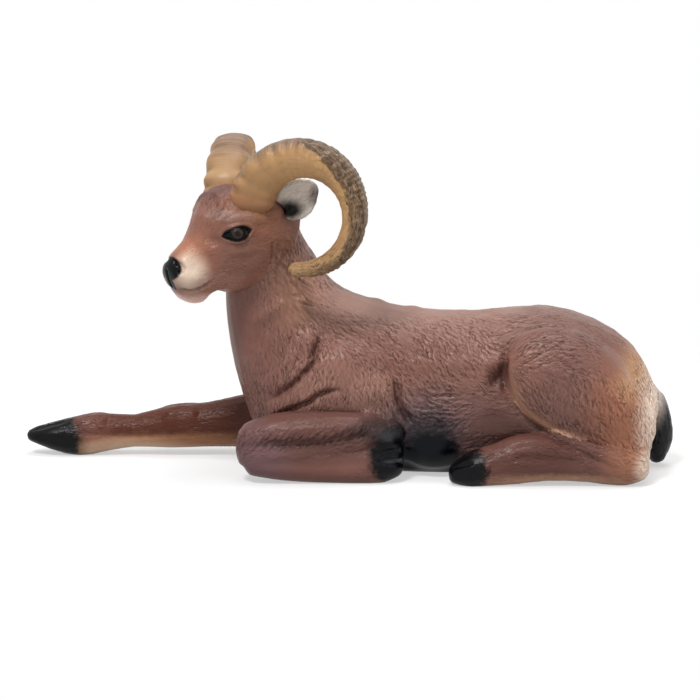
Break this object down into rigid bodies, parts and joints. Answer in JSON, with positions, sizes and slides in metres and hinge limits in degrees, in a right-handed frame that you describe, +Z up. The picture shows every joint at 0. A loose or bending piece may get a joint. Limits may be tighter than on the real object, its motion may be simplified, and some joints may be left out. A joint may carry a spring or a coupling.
{
  "type": "animal figurine",
  "caption": "Painted plastic figurine of a lying wild-sheep ram, head turned aside, with ringed curled horns; rests flat on its belly and folded legs.",
  "frame": {"origin": "on the ground, under the middle of the figure's length and width", "axes": "+X towards the tail, +Y towards the ram's right side, +Z up"},
  "size_m": [0.067, 0.022, 0.0346],
  "materials": {
    "coat": "satin paint over moulded plastic",
    "horn": "satin paint over moulded plastic",
    "ear": "satin paint over moulded plastic",
    "tail": "satin paint over moulded plastic"
  },
  "bodies": {
    "root": {"torso": "coat", "head": "coat", "left_horn": "horn", "right_horn": "horn", "left_ear": "ear", "right_ear": "ear", "left_foreleg": "coat", "right_foreleg": "coat", "left_hind_leg": "coat", "right_hind_leg": "coat", "tail": "tail"}
  },
  "joints": []
}
